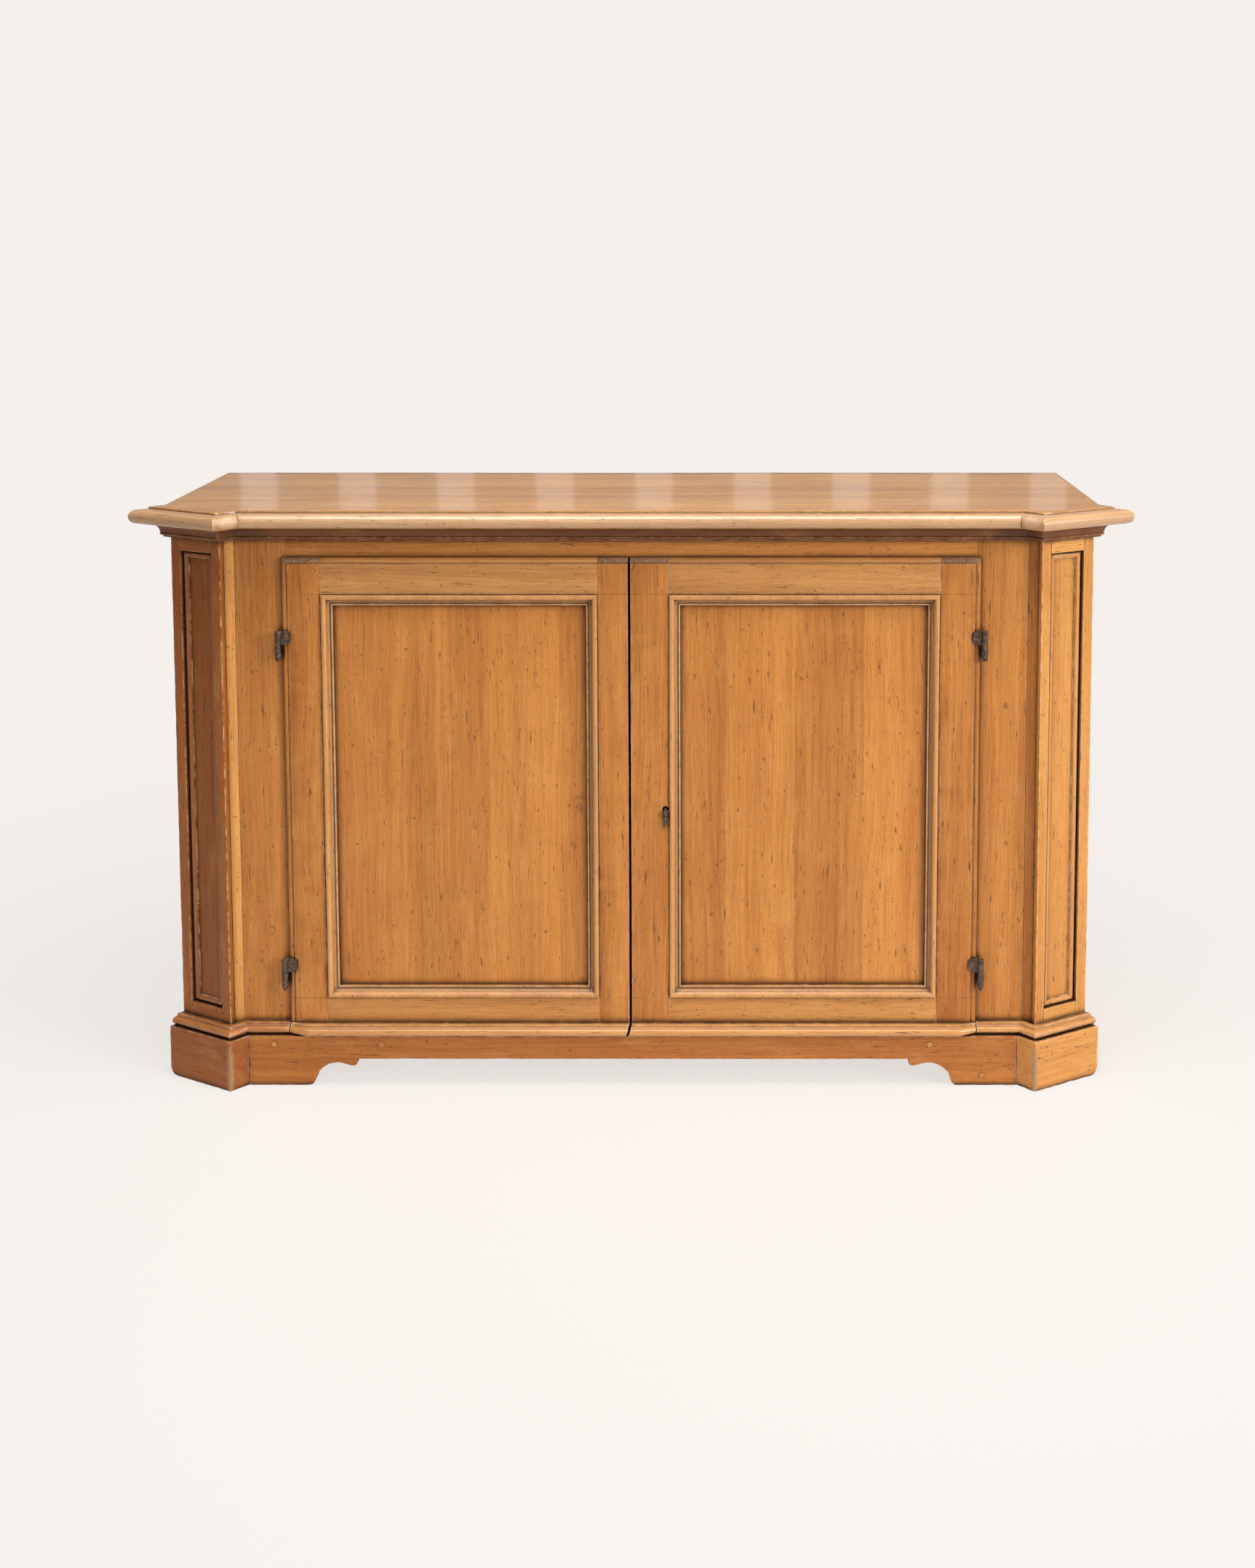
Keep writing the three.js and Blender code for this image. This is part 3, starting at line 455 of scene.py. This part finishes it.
def top_and_frame():
    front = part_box("front_top_rail")[0].y
    # Soot-dark patches on the cornice: partly dirt, partly painted shade under the front of the top
    sooty_shade = [((side * 0.65, front - 0.03, 0.958), (0.05, 0.05, 0.03), SOOT_AND_SHADE, 0.5) for side in (-1, 1)]
    knots = [
        ((0.636, front, 0.66), (0.006, 0.02, 0.008), KNOT, 0.7),
        ((0.64, front, 0.42), (0.005, 0.02, 0.006), KNOT, 0.6),
    ]
    made = [
        Board("top_board", "x", TOP, 0.8, (28, 40, 0), chips=0.5, roughness=0.3, grime_and_shade=0.7, coat=0.55,
              shine=0.09, bump=0.12, planks=("Y", 0.15, 0.24)),
        Board("top_edge_front", "x", WORN, 0.6, (9, 0, 0), chips=1.3, roughness=0.3, wear=1.0, coat=1.0,
              shine=0.27),
        Board("cornice", "x", SHADED, 0.3, (14, 14, 0), chips=0.2, grime_and_shade=1.4, spots=sooty_shade),
        Board("front_top_rail", "x", HONEY, 0.8, (30, 0, 30), tone=0.02),
        Board("front_bottom_rail", "x", AMBER, 0.8, (60, 0, 0)),
        Board("back_panel", "x", RAW, 0.8, (60, 0, 60), roughness=0.6),
        Board("bottom_board", "x", RAW, 0.8, (60, 60, 0), roughness=0.6),
        Board("shelf", "x", RAW, 0.8, (60, 60, 0), roughness=0.6),
        Board("front_stile_left", "z", HONEY, 0.8, (30, 0, 25), tone=0.08),
        Board("front_stile_right", "z", HONEY, 0.8, (30, 0, 25), spots=knots),
    ]
    for hand in ("left", "right"):
        corner = arris("top_edge_" + hand)
        inward = math.copysign(0.019, -corner.x)
        worn = [((corner.x + inward, corner.y + 0.012, 0.987), (0.016, 0.03, 0.018), BLEACHED, 0.35)]
        made += [
            Board("top_edge_" + hand, "cant_" + hand, WORN, 0.8, (8, 8, 0), chips=1.6, roughness=0.32,
                  wear=1.2, coat=0.6, shine=0.3, spots=worn),
            # Painted light and shade: the left corner post gets a brighter tone than the right one
            Board("corner_post_" + hand, "z", PAINTED_LIGHT_GOLD if hand == "left" else AMBER, 0.8, (0, 0, 25)),
            Board("side_" + hand, "z", AMBER, 0.8, (0, 40, 40), planks=("Z", 0.24, 0.2)),
        ]
    return made


def feet():
    made = [
        Board("plinth_front", "x", AMBER, 1.2, (9, 0, 9), chips=1.6, wear=0.9, grime_and_shade=1.1),
    ]
    # Painted light and shade: the left plinth and base moulding get darker tones than the right ones
    for hand, tones, moulding in (("left", PAINTED_SHADE_RUSSET, AMBER), ("right", PAINTED_LIGHT_GOLD, PALE)):
        corner = arris("plinth_" + hand)
        rough = [((corner.x, corner.y, 0.03), (0.009, 0.012, 0.075), SCUFF, 0.8)]
        made += [
            Board("plinth_" + hand, "cant_" + hand, tones, 2.2, (6, 6, 6), chips=2.6, soften=15, wear=1.1,
                  grime_and_shade=1.0, tone=0.1, spots=rough),
            Board("base_moulding_" + hand, "cant_" + hand, moulding, 0.3, (9, 9, 0), chips=0.6, grime_and_shade=1.3,
                  coat=0.8, shine=0.28, wear=0.9),
        ]
    return made


def pilasters():
    made = []
    # Painted light and shade: the left pilaster gets a darker tone than the right one
    for hand, tones in (("left", PAINTED_SHADE_RUSSET), ("right", PAINTED_LIGHT_GOLD)):
        cant = "cant_" + hand
        for stile in ("inner_stile", "outer_stile"):
            made.append(Board(f"pilaster_{hand}_{stile}", "z", tones, 0.9, (0, 0, 12), chips=0.9, wear=1.0))
        for rail in ("top_rail", "bottom_rail"):
            made.append(Board(f"pilaster_{hand}_{rail}", cant, tones, 0.7, (20, 0, 0)))
        made += [
            Board(f"pilaster_{hand}_panel", "z", tones, 0.3, (0, 0, 30), grime_and_shade=1.3, tone=0.1),
            Board(f"pilaster_{hand}_bead", "z", tones, 0.2, (0, 0, 14), chips=0.2, grime_and_shade=1.5, coat=0.3),
        ]
    return made


def doors():
    made = []
    stile = {"chips": 0.6, "grime_and_shade": 1.2, "end_above": 0.9072, "scribes": (0.1495, 0.855)}
    polish = {"coat": 0.8, "shine": 0.28}
    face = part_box("door_left_hinge_stile")[0].y
    marks = {
        "left": [((-0.085, face + 0.012, 0.5), (0.016, 0.02, 0.006), KNOT, 0.5),
                 ((-0.09, face + 0.012, 0.483), (0.007, 0.02, 0.014), KNOT, 0.45)],
        "right": [((0.26, face + 0.012, 0.3), (0.02, 0.02, 0.05), PALE[0], 0.3)],
    }
    for hand in ("left", "right"):
        door = f"door_{hand}_"
        made += [
            Board(door + "hinge_stile", "z", HONEY, 0.6, (0, 0, 14), tone=0.1, **stile),
            Board(door + "meeting_stile", "z", HONEY, 0.8, (0, 0, 14), tone=0.06, **stile),
            Board(door + "top_rail", "x", PALE, 0.5, (14, 0, 0), chips=0.4, grime_and_shade=1.1, tone=0.12, coat=0.2),
            Board(door + "bottom_rail", "x", PALE, 0.6, (25, 0, 0)),
            Board(door + "panel", "z", HONEY, 0.3, (36, 0, 36), uneven=1.5, planks=("X", 0.118, 0.3),
                  border=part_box(door + "panel"), spots=marks[hand]),
            Board(door + "panel_moulding", "z", PALE, 0.15, (14, 0, 14), chips=0.25, grime_and_shade=1.5, **polish),
            Board(door + "base_moulding", "x", PALE, 0.3, (9, 0, 0), chips=0.8, grime_and_shade=1.3, wear=0.9,
                  **polish),
        ]
    return made


def add_boards():
    for seed, board in enumerate(top_and_frame() + feet() + pilasters() + doors(), start=1):
        light, dark = board.tones
        material = wood(board.node + "_wood", board.grain, light, dark, seed, **board.finish)
        data = refined(board.node, board.bevel, board.step, board.uneven, board.chips, board.soften)
        place_piece(board.node + "_worn", data, material, BODY_OF[board.node], SLOT_OF[board.node],
                    board.node)


# ---- Ironwork ----

LEAF_LENGTH = 18 * MM
LEAF_TRIM = 5 * MM
LEAF_TAPER = 0.4


def draw_out_leaf(data):
    """Tapers the flat leaf of a hinge eye towards its end, as a smith draws it out."""
    places = [v.co for v in data.vertices]
    middle = (min(co.z for co in places) + max(co.z for co in places)) / 2
    root = min(abs(co.x) for co in places) + LEAF_LENGTH
    for co in places:
        share = max(0.0, (root - abs(co.x)) / LEAF_LENGTH) ** 2
        co.x += math.copysign(LEAF_TRIM * share, co.x)
        co.z = middle + (co.z - middle) * (1 - LEAF_TAPER * share)


def add_ironwork():
    iron = iron_material()
    for node, slot in SLOT_OF.items():
        if slot == "wrought_iron":
            data = refined(node, 1.1 * MM, (0.004, 0, 0.004), uneven=0.8, wear=0.6 * MM)
            if "hinge_eye" in node:
                draw_out_leaf(data)
            place_piece(node + "_forged", data, iron, BODY_OF[node], slot, node)


# ---- Pegs ----

def add_pegs():
    """Turned pegs that pin the front board of the plinth, a hair proud of its face."""
    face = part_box("plinth_front")[0].y - 0.2 * MM
    mesh = bmesh.new()
    for x, z in ((-0.616, 0.074), (-0.432, 0.073), (0.51, 0.073), (0.6, 0.018)):
        turn = Matrix.Translation((x, face, z)) @ Matrix.Rotation(math.pi / 2, 4, "X")
        bmesh.ops.create_cone(mesh, cap_ends=True, segments=14, radius1=3.6 * MM, radius2=4.8 * MM,
                              depth=1.6 * MM, matrix=turn)
    data = bpy.data.meshes.new("plinth_pegs")
    mesh.to_mesh(data)
    mesh.free()
    material = wood("peg_wood", "y", PALE[0], AMBER[1], 77, roughness=0.5, grime_and_shade=1.5, wear=0.0)
    place_piece("plinth_pegs", data, material, "carcass", "walnut")


# ---- Studio ----

BACKDROP = (0.913, 0.871, 0.839, 1)
FLOOR_HALF = 14
FLOOR_BASE = (0.82, 0.79, 0.76, 1)
FLOOR_DROP = 0.5 * MM
WORLD_LIGHT = 0.34


def add_floor():
    """A pale floor that fades into the backdrop with distance, so that no horizon shows."""
    floor_mesh = bmesh.new()
    bmesh.ops.create_grid(floor_mesh, x_segments=1, y_segments=1, size=FLOOR_HALF)
    data = bpy.data.meshes.new("floor")
    floor_mesh.to_mesh(data)
    floor_mesh.free()
    floor = bpy.data.objects.new("floor", data)
    bpy.context.collection.objects.link(floor)
    material = bpy.data.materials.new("studio_floor")
    material.use_nodes = True
    g = Graph(material.node_tree)
    nodes = material.node_tree.nodes
    shader = nodes["Principled BSDF"]
    shader.inputs["Base Color"].default_value = FLOOR_BASE
    shader.inputs["Roughness"].default_value = 0.85
    glow = g.add("ShaderNodeEmission", Color=BACKDROP, Strength=1.0)
    seen = g.add("ShaderNodeLightPath").outputs["Is Camera Ray"]
    away = g.distance(g.add("ShaderNodeTexCoord").outputs["Object"])
    share = g.scaled(g.ramp(away, 0.7, 2.6), 0.2, 0.8)
    blend = g.add("ShaderNodeMixShader")
    g.join(g.math("MULTIPLY", seen, share), blend.inputs[0])
    g.join(shader.outputs[0], blend.inputs[1])
    g.join(glow.outputs[0], blend.inputs[2])
    g.join(blend.outputs[0], nodes["Material Output"].inputs["Surface"])
    data.materials.append(material)
    floor.location.z = -FLOOR_DROP


def add_backdrop():
    """A backdrop that shows at full strength but lights the object softly."""
    world = bpy.data.worlds.new("studio")
    bpy.context.scene.world = world
    world.use_nodes = True
    w = Graph(world.node_tree)
    background = world.node_tree.nodes["Background"]
    seen = w.add("ShaderNodeLightPath").outputs["Is Camera Ray"]
    background.inputs["Color"].default_value = BACKDROP
    w.join(w.scaled(seen, 1 - WORLD_LIGHT, WORLD_LIGHT), background.inputs["Strength"])


WARM = (1.0, 0.97, 0.93)
STRIPS = 9
STRIP_START = -1.59
STRIP_PITCH = 0.373
STRIP_SIZE = (0.14, 1.6)
STRIP_POWER = 0.26


def softbox(name, place, target, size, power, tint=(1, 1, 1)):
    data = bpy.data.lights.new(name, "AREA")
    data.shape = "RECTANGLE"
    data.size, data.size_y = size
    data.energy = power
    data.color = tint
    light = bpy.data.objects.new(name, data)
    bpy.context.collection.objects.link(light)
    light.location = place
    light.rotation_euler = (Vector(target) - Vector(place)).to_track_quat("-Z", "Y").to_euler()
    light.visible_camera = False


def add_lights():
    """A key from the right, a weak fill, an overhead box, and strips behind that the top reflects."""
    middle = (0, 0, 0.5)
    softbox("key", (3.9, -2.7, 2.2), middle, (1.6, 1.6), 150, WARM)
    softbox("fill", (-0.9, -4.2, 1.9), middle, (2.4, 2.0), 11, WARM)
    softbox("overhead", (0.1, -0.75, 3.2), (0, 0, 0.9), (2.8, 1.3), 98)
    for number in range(STRIPS):
        x = STRIP_START + STRIP_PITCH * number
        softbox(f"strip_{number}", (x, 3.6, 1.2), (x, 0, 1.2), STRIP_SIZE, STRIP_POWER)


CAMERA_PLACE = (0.147, -3.205, 1.478)
CAMERA_PITCH = math.radians(90 - 5.2)
CAMERA_LENS = 41.7
CAMERA_SHIFT = (-0.058, -0.252)


def add_camera():
    data = bpy.data.cameras.new("camera")
    camera = bpy.data.objects.new("camera", data)
    bpy.context.collection.objects.link(camera)
    data.sensor_width = 36
    data.lens = CAMERA_LENS
    data.shift_x, data.shift_y = CAMERA_SHIFT
    camera.location = CAMERA_PLACE
    camera.rotation_euler = (CAMERA_PITCH, 0, 0)
    bpy.context.scene.camera = camera
    bpy.context.scene.view_settings.view_transform = "Standard"


add_camera()
add_boards()
add_ironwork()
add_pegs()
add_floor()
add_backdrop()
add_lights()
